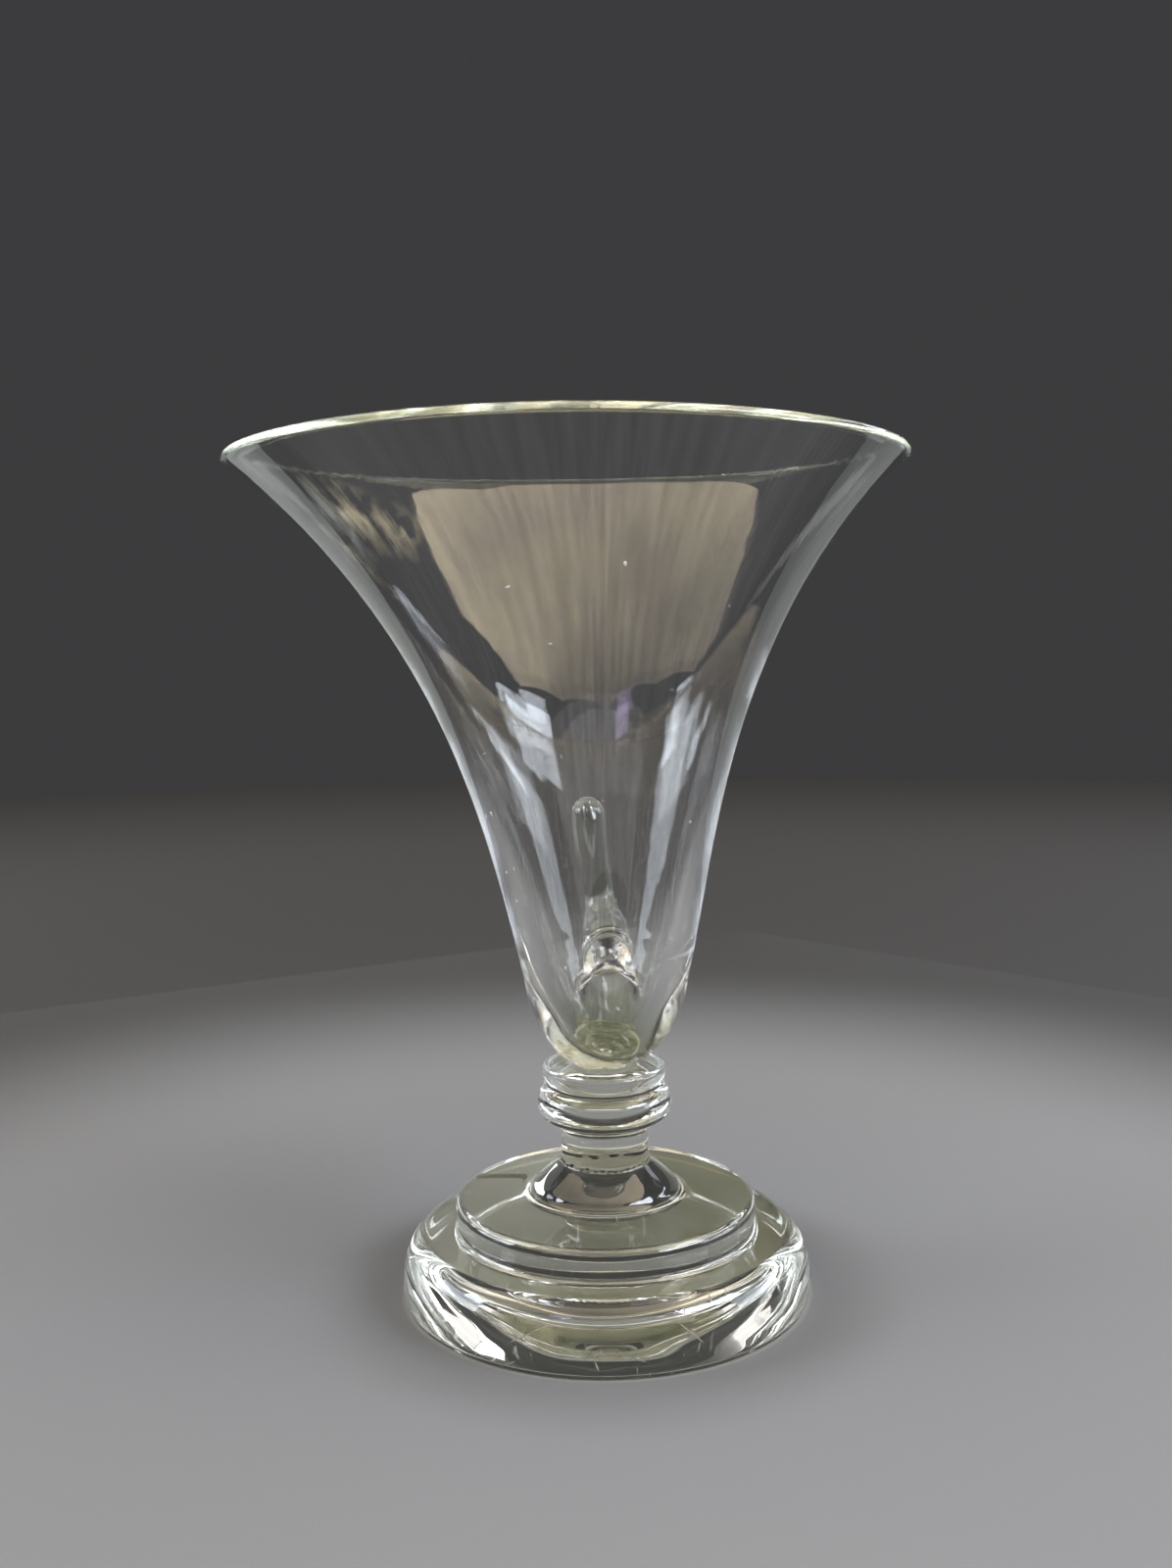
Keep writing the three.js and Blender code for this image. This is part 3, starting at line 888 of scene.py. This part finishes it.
flange = spun([
    (SEAM, straight((0, KNOP_TOP + SEAM_GAP), (CREASE_RADIUS, KNOP_TOP + SEAM_GAP), 3)),
    (GLASS, joined(
        arc((CREASE_RADIUS, KNOP_TOP + SEAM_GAP), (FLANGE_RADIUS, flange_lip[1]), 10, "level"),
        flange_round(16),
        flange_dish(14),
        straight((land_radius, SEAT), (FUSED_RADIUS, SEAT), 3),
    )),
    (SEAM, straight((FUSED_RADIUS, SEAT), (0, SEAT), 2)),
])
make_piece("vase_collar_flange", flange, (stem_glass, fused_seam), ("collar_flange",))

# %% [markdown]
# ## The horn
# The horn is spun too, but then it was worked by hand. Its mouth leans a little to one side and its
# rim dips at the left and right, its hollow bends back at the bottom into the tail, and the tail's
# root swells out of the outside wall with a soft fillet. So the outside, the lip and the hollow are
# drawn as rings of points, and the wall round the root is cut open and filled with fine triangles.

# %% Measure the horn
MOUTH_RADIUS, MOUTH_TOP = 91.25, 235.95
LIP_RADIUS, LIP_ANGLE = 1.5, math.radians(47)
GORGE, GORGE_RADIUS, GORGE_WALL = 86.0, 22.4, 9.0
FLARE_TAPER, FLARE_POWER, WALL_POWER = 29.5, 3.35, 3.2
BOWL_ROUND, BOWL_FULLNESS = 22.5, 2.3
HORN_BOW, BOW_HEIGHT, HORN_LEAN, LEAN_START, LEAN_POWER, MOUTH_DIP = 1.0, 11.0, 9.0, 92.25, 1.5, 2.8
SMALL_STEP = 0.01  # mm

lip_centre = (MOUTH_RADIUS - LIP_RADIUS, MOUTH_TOP - LIP_RADIUS)
flare_end = (
    lip_centre[0] + LIP_RADIUS * math.cos(LIP_ANGLE),
    lip_centre[1] - LIP_RADIUS * math.sin(LIP_ANGLE),
)


def flare_radius(height):
    share = (height - GORGE) / (flare_end[1] - GORGE)
    late = flare_end[0] - GORGE_RADIUS - FLARE_TAPER
    return GORGE_RADIUS + FLARE_TAPER * share + late * max(share, 0.0) ** FLARE_POWER


def slope_of(radius_at, height):
    """How fast a radius grows with height."""
    return (radius_at(height + SMALL_STEP) - radius_at(height - SMALL_STEP)) / (2 * SMALL_STEP)


def outer_radius(height):
    share = max(GORGE - height, 0.0) / BOWL_ROUND
    return flare_radius(height) * (1 - share ** BOWL_FULLNESS) ** (1 / BOWL_FULLNESS)


def inner_radius(height):
    share = (MOUTH_TOP - height) / (MOUTH_TOP - GORGE)
    wall = 2 * LIP_RADIUS + (GORGE_WALL - 2 * LIP_RADIUS) * share ** WALL_POWER
    return flare_radius(height) - wall * math.hypot(1, slope_of(flare_radius, height))


def lean_share(height):
    return max(height - LEAN_START, 0.0) / (MOUTH_TOP - LEAN_START)


def axis_shift(height):
    rise = min(max((height - SEAT) / BOW_HEIGHT, 0.0), 1.0)
    return HORN_BOW * rise * rise * (3 - 2 * rise) - HORN_LEAN * lean_share(height) ** LEAN_POWER


def axis_distance(point):
    """How far a point lies from the horn's own axis, which bows and leans."""
    return math.hypot(point[0] - axis_shift(point[2]), point[1])


def horn_point(radius, angle, height):
    """A point of the horn, with the lean and the dip of the worked glass."""
    aside = radius * math.cos(angle)
    dip = MOUTH_DIP * (aside / MOUTH_RADIUS) ** 2 * lean_share(height)
    return (aside + axis_shift(height), radius * math.sin(angle), height - dip)


def horn_ring(radius, height):
    return [horn_point(radius, angle, height) for angle in ANGLES]


gorge_wall = outer_radius(GORGE) - inner_radius(GORGE)
print("mouth", 2 * MOUTH_RADIUS, "mm across, wall at the gorge", round(gorge_wall, 1))

# %% [markdown]
# The tail's centre line leaves the horn's back, rounds an elbow and climbs to the tip. It is a smooth
# curve through a few points, walked at even steps. Rings round it give the tail's skin and its bore.

# %% Draw the tail's centre line
tail_knots = [Vector(p) for p in (
    (2.2, 0.0, 80.75), (2.2, 16.5, 81.25), (2.2, 30.5, 84.3), (0.45, 41.4, 92.2),
    (-1.35, 46.0, 102.4), (-3.4, 47.0, 115.4), (-4.5, 47.0, 133.0),
)]
JOINT_Y = 28.0  # the flat joint where the tail meets its root
TAIL_ROOT, TAIL_ELBOW, TAIL_ROD = 11.2, 10.4, 5.6
ROD_START, ROD_END = 0.45, 0.64
BORE_RADIUS, BORE_END, BORE_TIP = 7.8, 0.47, 0.09


def walked_curve(knots, steps_between):
    """Points of a smooth curve through all the knots."""
    ends = [2 * knots[0] - knots[1], *knots, 2 * knots[-1] - knots[-2]]
    points = []
    for a, b, c, d in zip(ends, ends[1:], ends[2:], ends[3:]):
        for i in range(steps_between):
            t = i / steps_between
            points.append(0.5 * (2 * b + t * (c - a) + t * t * (2 * a - 5 * b + 4 * c - d)
                                 + t ** 3 * (3 * b - a - 3 * c + d)))
    points.append(knots[-1].copy())
    return points


tail_walk = walked_curve(tail_knots, 40)
walk_lengths = [0.0]
for before, after in zip(tail_walk, tail_walk[1:]):
    walk_lengths.append(walk_lengths[-1] + (after - before).length)
TAIL_LENGTH = walk_lengths[-1]


def tail_place(share):
    """The centre line's point and direction at a share of its length."""
    wanted = min(max(share, 0.0), 1.0) * TAIL_LENGTH
    low, high = 0, len(walk_lengths) - 1
    while high - low > 1:
        middle = (low + high) // 2
        if walk_lengths[middle] <= wanted:
            low = middle
        else:
            high = middle
    part = (wanted - walk_lengths[low]) / (walk_lengths[high] - walk_lengths[low])
    before = tail_walk[max(low - 1, 0)]
    after = tail_walk[min(high + 1, len(tail_walk) - 1)]
    here, there = tail_walk[low], tail_walk[high]
    direction = ((there - before) * (1 - part) + (after - here) * part).normalized()
    return here.lerp(there, part), direction


print("tail is", round(TAIL_LENGTH, 1), "mm long along its centre line")

# %% [markdown]
# Skins are wrapped round that line: the outside of the tail, which slims from its root to a thin rod,
# and the bore inside it. A point of a skin is given by its share of the length and its angle, and a
# search along a skin finds where it passes a plane or another surface.

# %% Wrap skins round the centre line
def around(centre, direction, radius, angle):
    """A point round a centre line: angle 0 is to +X, and a quarter turn is away from the bend's inside."""
    across = (Vector((1, 0, 0)) - direction * direction.x).normalized()
    over = across.cross(direction)
    return centre + radius * (math.cos(angle) * across + math.sin(angle) * over)


def smooth_step(value, low, high):
    t = min(max((value - low) / (high - low), 0.0), 1.0)
    return t * t * (3 - 2 * t)


def tail_radius(share):
    elbow = smooth_step(share, 0.1, ROD_START)
    rod = smooth_step(share, ROD_START, ROD_END)
    return TAIL_ROOT + (TAIL_ELBOW - TAIL_ROOT) * elbow + (TAIL_ROD - TAIL_ELBOW) * rod


def tail_skin(share, angle):
    centre, direction = tail_place(share)
    return around(centre, direction, tail_radius(share), angle)


def bore_skin(share, angle):
    centre, direction = tail_place(share)
    return around(centre, direction, BORE_RADIUS, angle)


def share_where(skin, angle, reached, low=0.0, high=0.45):
    """Walks a skin outwards at one angle to where reached(point) turns true."""
    for _ in range(40):
        middle = (low + high) / 2
        if reached(skin(middle, angle)):
            high = middle
        else:
            low = middle
    return (low + high) / 2


def past_joint(point):
    return point.y > JOINT_Y


skin_radii = [round(tail_radius(share), 1) for share in (0.0, ROD_START, 1.0)]
print("tail's radius at its root, where the rod starts, and at the tip, in mm:", skin_radii)

# %% [markdown]
# The outside of the horn comes first. The rings climb from the seat to the lip, over it, and down the
# inside as far as the point where the hollow starts to bend. A window in the back is left out of the
# wall for the root of the tail.

# %% Gather the horn's rings
horn = Shape()
BEND_START = 98.0
BOWL_STEPS, WALL_STEPS, LIP_STEPS, HOLLOW_STEPS = 34, 96, 12, 84


def heights_between(low, high, count):
    return [low + (high - low) * (i / count) for i in range(count + 1)]


bowl_turn = math.asin((GORGE - SEAT - SEAM_GAP) / BOWL_ROUND)
bowl_heights = [GORGE - BOWL_ROUND * math.sin(bowl_turn * (1 - i / BOWL_STEPS)) for i in range(BOWL_STEPS)]
outer_heights = bowl_heights + heights_between(GORGE, flare_end[1], WALL_STEPS)
outer_rings = [horn.ring(horn_ring(outer_radius(h), h)) for h in outer_heights]

lip_rings = []
for i in range(1, LIP_STEPS + 1):
    angle = math.pi * i / LIP_STEPS - LIP_ANGLE
    lip_rings.append(horn.ring(horn_ring(
        lip_centre[0] + LIP_RADIUS * math.cos(angle), lip_centre[1] + LIP_RADIUS * math.sin(angle))))
inner_top = lip_centre[1] + LIP_RADIUS * math.sin(LIP_ANGLE)
inner_heights = heights_between(inner_top, BEND_START, HOLLOW_STEPS)[1:]
inner_rings = [horn.ring(horn_ring(inner_radius(h), h)) for h in inner_heights]

# The window, as the first and last ring and column of the wall that it opens.
WINDOW_LOW, WINDOW_HIGH = 65.5, 102.0
WINDOW_SIDE = 80.0
first_row = max(i for i, h in enumerate(outer_heights) if h < WINDOW_LOW)
last_row = min(i for i, h in enumerate(outer_heights) if h > WINDOW_HIGH)
first_column = round((90 - WINDOW_SIDE) / 360 * ROUND)
last_column = round((90 + WINDOW_SIDE) / 360 * ROUND)

for row in range(len(outer_rings) - 1):
    lower, upper = outer_rings[row], outer_rings[row + 1]
    for i in range(ROUND):
        j = (i + 1) % ROUND
        if not (first_row <= row < last_row and first_column <= i < last_column):
            horn.face((lower[i], lower[j], upper[j], upper[i]))
horn.tube([outer_rings[-1], *lip_rings], LIP)
horn.tube([lip_rings[-1], *inner_rings])
fused_ring = horn.ring(horn_ring(FUSED_RADIUS, SEAT + SEAM_GAP))
horn.band(fused_ring, outer_rings[0])
horn.fan(fused_ring, (0.0, 0.0, SEAT + SEAM_GAP), SEAM)
horn.crease(outer_rings[0])
print("horn has", len(outer_rings), "outer and", len(inner_rings), "inner rings")

# %% [markdown]
# The root's fillet starts on a round line drawn on the wall. Between that line and the edge of the
# window the wall is filled with triangles that keep to the points of the rings, so the wall's shape
# doesn't change. A boolean cut would leave thin slivers there, and polished glass shows each of them.
# The triangles are found in the wall's own flat coordinates.

# %% Fill the window up to the fillet
FILLET_CENTRE = (2.2, 82.5)
FILLET_REACH = (14.5, 15.0)
LINE_CLEARANCE = 0.35  # mm; points of the wall that are closer to the fillet's line are left out
LINE_TOLERANCE = 0.02  # mm
SAME_POINT = 1e-5  # mm


def on_wall(x, height):
    off_axis = x - axis_shift(height)
    return Vector((x, math.sqrt(outer_radius(height) ** 2 - off_axis ** 2), height))


def unrolled(point):
    """The wall's own flat coordinates: the way round it and the height, in mm."""
    return Vector((math.atan2(point.y, point.x - axis_shift(point.z)) * GORGE_RADIUS, point.z))


fillet_line = [
    on_wall(FILLET_CENTRE[0] + FILLET_REACH[0] * math.cos(angle),
            FILLET_CENTRE[1] + FILLET_REACH[1] * math.sin(angle))
    for angle in ANGLES
]
fillet_ring = horn.ring(fillet_line)


def inside_fillet(point, margin):
    along = (point.x - FILLET_CENTRE[0]) / (FILLET_REACH[0] + margin)
    up = (point.z - FILLET_CENTRE[1]) / (FILLET_REACH[1] + margin)
    return along * along + up * up < 1 and point.y > 0


window_points = []
for row in range(first_row, last_row + 1):
    for column in range(first_column, last_column + 1):
        index = outer_rings[row][column]
        on_edge = row in (first_row, last_row) or column in (first_column, last_column)
        if on_edge or not inside_fillet(Vector(horn.points[index]), LINE_CLEARANCE):
            window_points.append(index)
flat = [unrolled(Vector(horn.points[i])) for i in window_points + fillet_ring]
line_start = len(window_points)
window_edges = [(line_start + i, line_start + (i + 1) % ROUND) for i in range(ROUND)]
filled = delaunay_2d_cdt(flat, window_edges, [], 0, SAME_POINT, True)
flat_faces, origins = filled[2], filled[3]
source = [(window_points + fillet_ring)[found[0]] for found in origins]
edge_rows = [set(outer_rings[row]) for row in (first_row, last_row)]
for corners in flat_faces:
    face = [source[c] for c in corners]
    middle = sum((Vector(horn.points[i]) for i in face), Vector()) / len(face)
    beyond_edge = any(row.issuperset(face) for row in edge_rows)  # slivers that only straighten an edge
    if not beyond_edge and not inside_fillet(middle, -LINE_TOLERANCE):
        horn.face(tuple(face))
print("window filled with", len(flat_faces), "triangles")

# %% [markdown]
# Inside the line the fillet curls outwards. At each angle it is one smooth curve, which leaves the wall
# along the wall and meets the tail's skin along the skin. From there the root runs on to the flat joint.

# %% Curl the fillet out to the tail's root
FILLET_RISE = 3.0
FILLET_PULL = 0.67  # how far towards the corner the fillet's curve is pulled at each end
JOINT_MARGIN = 0.7  # mm that the root runs on at least, before the joint


def along_wall(point, way):
    """The part of a way that lies in the wall's surface at a point."""
    reach = axis_distance(point)
    steepness = slope_of(outer_radius, point.z)
    outward = Vector(((point.x - axis_shift(point.z)) / reach, point.y / reach, -steepness)).normalized()
    return way - outward * way.dot(outward)


def depth_in_wall(point):
    """How far inside the horn's outer skin a point lies."""
    return outer_radius(max(point[2], SEAT + SMALL_STEP)) - axis_distance(point)


def outside_wall(point):
    return depth_in_wall(point) < 0


FILLET_STEPS, ROOT_STEPS = 16, 8
fillet_rows = [[] for _ in range(FILLET_STEPS + ROOT_STEPS)]
for start, angle in zip(fillet_line, ANGLES):
    corner = tail_skin(share_where(tail_skin, angle, outside_wall, 0.02, 0.4), angle)
    joint_share = share_where(tail_skin, angle, past_joint)
    leave_y = min(corner.y + FILLET_RISE, JOINT_Y - JOINT_MARGIN)
    leave_share = share_where(tail_skin, angle, lambda p: p.y > leave_y)
    leave = tail_skin(leave_share, angle)
    near_start = start + along_wall(start, corner - start) * FILLET_PULL
    near_leave = leave.lerp(corner, FILLET_PULL)
    for step in range(1, FILLET_STEPS + 1):
        t = step / FILLET_STEPS
        fillet_rows[step - 1].append(
            (1 - t) ** 3 * start + 3 * t * (1 - t) ** 2 * near_start
            + 3 * t * t * (1 - t) * near_leave + t ** 3 * leave)
    for step in range(1, ROOT_STEPS + 1):
        share = leave_share + (joint_share - leave_share) * step / ROOT_STEPS
        fillet_rows[FILLET_STEPS + step - 1].append(tail_skin(share, angle))
root_rings = [horn.ring(row) for row in fillet_rows]
horn.tube([fillet_ring, *root_rings])
print("root's fillet has", FILLET_STEPS, "rings, and", ROOT_STEPS, "lead on to the joint")

# %% [markdown]
# The hollow narrows, bends backwards above the seat and becomes the bore. Two tubes that cross would
# leave a sharp ridge where they meet, and blown glass has none. So it is one tube round a curved centre
# line, whose rings tip over as the line turns from straight down to backwards.

# %% Bend the hollow into the bore
bend_from = Vector((axis_shift(BEND_START), 0.0, BEND_START))
bend_tilt = axis_shift(BEND_START - 0.5) - axis_shift(BEND_START + 0.5)
bend_drop = Vector((bend_tilt, 0.0, -1.0))
BEND_END_SHARE = 0.19
bend_to, bend_way = tail_place(BEND_END_SHARE)
BEND_STEPS, BORE_STEPS = 48, 8
# The first three points lie in line and so do the last three, so the bend starts and ends without a kink.
bend_line = [
    bend_from, bend_from + bend_drop * 6.0, bend_from + bend_drop * 12.0, bend_from + bend_drop * 18.5,
    bend_to - bend_way * 15.0, bend_to - bend_way * 7.5, bend_to,
]
start_radius = inner_radius(BEND_START)
start_slope = inner_radius(BEND_START + 0.5) - inner_radius(BEND_START - 0.5)


def bend_centre(t):
    """A point of the smooth curve that the bend's points pull into shape."""
    points = bend_line
    while len(points) > 1:
        points = [a.lerp(b, t) for a, b in zip(points, points[1:])]
    return points[0]


def bend_direction(t):
    return (bend_centre(t + 0.001) - bend_centre(t - 0.001)).normalized()


def bend_radius(t):
    """From the hollow's radius and taper to the bore's radius, with no kink at either end."""
    speed = (bend_centre(0.001) - bend_centre(0.0)).length / 0.001
    taper = -start_slope * speed * (t - 6 * t ** 3 + 8 * t ** 4 - 3 * t ** 5)
    return start_radius + taper + (BORE_RADIUS - start_radius) * (10 * t ** 3 - 15 * t ** 4 + 6 * t ** 5)


ROOT_START_Y = 6.0  # mm; behind this the hollow runs out through the wall into the tail's root
bend_rings = []
for step in range(1, BEND_STEPS + 1):
    t = step / BEND_STEPS
    centre, direction, radius = bend_centre(t), bend_direction(t), bend_radius(t)
    bend_rings.append(horn.ring([around(centre, direction, radius, angle) for angle in ANGLES]))
bore_ends = [share_where(bore_skin, angle, past_joint) for angle in ANGLES]
for step in range(1, BORE_STEPS + 1):
    bend_rings.append(horn.ring([
        bore_skin(BEND_END_SHARE + (end - BEND_END_SHARE) * step / BORE_STEPS, angle)
        for end, angle in zip(bore_ends, ANGLES)
    ]))
horn.tube([inner_rings[-1], *bend_rings])
horn.band(root_rings[-1], bend_rings[-1], SEAM)
horn.crease(root_rings[-1])
horn.crease(bend_rings[-1])
lowest = min(horn.points, key=lambda p: p[2])
bend_points = [horn.points[i] for ring in bend_rings[:BEND_STEPS] for i in ring]
thinnest = min(depth_in_wall(point) for point in bend_points if point[1] < ROOT_START_Y)
print("thinnest wall round the bend", round(thinnest, 1), "mm, lowest point of the horn", round(lowest[2], 2))

# %% [markdown]
# Tiny seeds of gas were caught in the wall when the glass was gathered. Each is a closed skin inside
# the wall that faces inwards, which is how a bubble is described: it is a place with no glass in it.

# %% Scatter seeds and finish the horn
scatter = random.Random(7)
SEED_COUNT, DEEP_SEED_COUNT = 40, 16
DEEP_HEIGHT = 68.0
seeds = []
for _ in range(SEED_COUNT):
    height = scatter.uniform(92, 215)
    angle = scatter.uniform(0, math.tau)
    centre = horn_point((outer_radius(height) + inner_radius(height)) / 2, angle, height)
    width = scatter.uniform(0.25, 0.8)
    seeds.append((centre, width, width * scatter.uniform(1.0, 2.2), (0, 0, 1), 0.0))
for _ in range(DEEP_SEED_COUNT):  # the thick bottom of the horn, under its hollow, has its own cluster
    angle, reach = scatter.uniform(0, math.tau), scatter.uniform(1.5, 7.0)
    aside = reach * math.cos(angle) + axis_shift(DEEP_HEIGHT)
    place = (aside, reach * math.sin(angle), scatter.uniform(67.5, 70.5))
    seeds.append((place, scatter.uniform(0.4, 1.2), scatter.uniform(0.4, 1.2), (0, 0, 1), 0.0))
big_bubble = ((axis_shift(DEEP_HEIGHT), -1.0, 68.7), 3.4, 2.6, (0, 0, 1), 0.0)
seeds.append(big_bubble)
make_piece(
    "vase_horn", horn, (horn_glass, fused_seam, lip_glass), ("horn_bowl",), hollows=seeds)

# %% [markdown]
# ## The tail
# The tail was drawn out of the hot horn and bent upwards. Its first ring lies in the flat joint, its
# bore ends blind in the elbow, and its tip is a rounded end with one long tear of air in it. Rings that
# follow the centre line keep their shape through the bend.

# %% Make the tail
TAIL_ROUND = 96
TAIL_ANGLES = [math.tau * i / TAIL_ROUND for i in range(TAIL_ROUND)]
tail = Shape()


def tail_rings(skin, last_share, steps):
    """Rings that start in the flat joint and turn square to the centre line further on."""
    starts = [share_where(skin, angle, lambda p: p.y > JOINT_Y + SEAM_GAP) for angle in TAIL_ANGLES]
    return [
        tail.ring([
            skin(start + (last_share - start) * (step / steps), angle)
            for start, angle in zip(starts, TAIL_ANGLES)
        ])
        for step in range(steps + 1)
    ]


def closing_rings(share, radius, length, steps):
    """A rounded end that goes on from a share of the centre line, and its last point."""
    rings = []
    for step in range(1, steps):
        angle = math.pi / 2 * step / steps
        centre, direction = tail_place(share)
        ahead = centre + direction * (length * math.sin(angle))
        rings.append(tail.ring([
            around(ahead, direction, radius * math.cos(angle), turn) for turn in TAIL_ANGLES
        ]))
    return rings, centre + direction * length


tip_share = 1 - TAIL_ROD / TAIL_LENGTH
skin_rings = tail_rings(tail_skin, tip_share, 90)
tip_rings, tip_point = closing_rings(tip_share, TAIL_ROD, TAIL_ROD, 12)
tail.tube(skin_rings + tip_rings)
tail.fan(tip_rings[-1], tip_point)

bore_share = BORE_END - BORE_TIP
bore_rings = tail_rings(bore_skin, bore_share, 20)
end_rings, end_point = closing_rings(bore_share, BORE_RADIUS, BORE_TIP * TAIL_LENGTH, 14)
tail.tube(bore_rings + end_rings)
tail.fan(end_rings[-1], end_point)
tail.band(skin_rings[0], bore_rings[0], SEAM)
tail.crease(skin_rings[0])
tail.crease(bore_rings[0])

TEAR_SHARE, TEAR_WIDTH, TEAR_LENGTH = 0.87, 5.4, 17.0
tear_centre, tear_way = tail_place(TEAR_SHARE)
tear = (tear_centre, TEAR_WIDTH, TEAR_LENGTH, tear_way, 0.75)
make_piece("vase_tail", tail, (stem_glass, fused_seam), ("horn_tail",), hollows=[tear])
